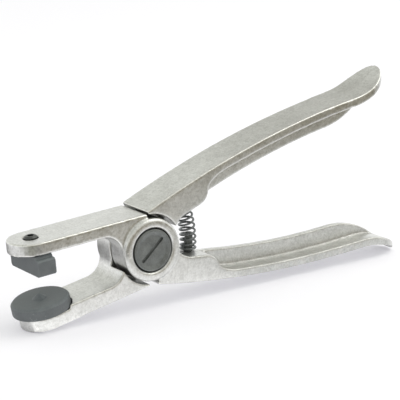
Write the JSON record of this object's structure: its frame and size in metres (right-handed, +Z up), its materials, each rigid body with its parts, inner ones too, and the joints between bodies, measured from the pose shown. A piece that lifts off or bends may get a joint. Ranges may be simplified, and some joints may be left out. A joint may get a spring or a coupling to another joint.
{
  "type": "running pliers",
  "caption": "Spring-opened running pliers with a half-lap joint, a turning presser bar under the upper jaw and a round pad with a centre point on the lower jaw.",
  "frame": {"origin": "middle of the bounding box, on the surface that the tool stands on", "axes": "+X from the jaws to the handles, +Y along the pivot from the front boss (slotted screw head) to the rear boss, +Z up"},
  "size_m": [0.1996, 0.025, 0.0881],
  "materials": {
    "casting": "tumbled satin casting with bright rounded edges",
    "blackened_steel": "black oxide, satin",
    "slate_polymer": "matt moulded, slate black",
    "spring_steel": "dark oiled spring wire",
    "plated_steel": "zinc plated",
    "brass": "turned brass"
  },
  "bodies": {
    "front_half": {"front_lever": "casting", "lower_spring_peg": "blackened_steel", "pivot_screw": "blackened_steel", "pivot_sleeve": "blackened_steel", "spring_washer": "plated_steel", "sleeve_washer": "plated_steel", "lap_washer": "plated_steel", "return_spring": "spring_steel"},
    "rear_half": {"rear_lever": "casting", "upper_spring_peg": "blackened_steel", "disc_pad": "slate_polymer", "pad_insert": "brass", "pad_washer": "plated_steel", "pad_screw": "plated_steel"},
    "presser": {"presser_bar": "slate_polymer", "presser_insert": "brass", "presser_screw": "blackened_steel"}
  },
  "joints": [
    {"name": "jaw_pivot", "type": "hinge", "parent": "front_half", "child": "rear_half", "pos_m": [-0.03807, 0, 0.02689], "axis": [0, 1, 0], "range_deg": [0, 11.5], "stiffness_Nm_per_rad": 1.4, "springref_deg": -10.89, "deforming": ["return_spring"]},
    {"name": "presser_swivel", "type": "hinge", "parent": "front_half", "child": "presser", "pos_m": [-0.08911, 0, 0.03359], "axis": [-0.0649, 0, 0.9979], "range_deg": [-90, 90]}
  ]
}
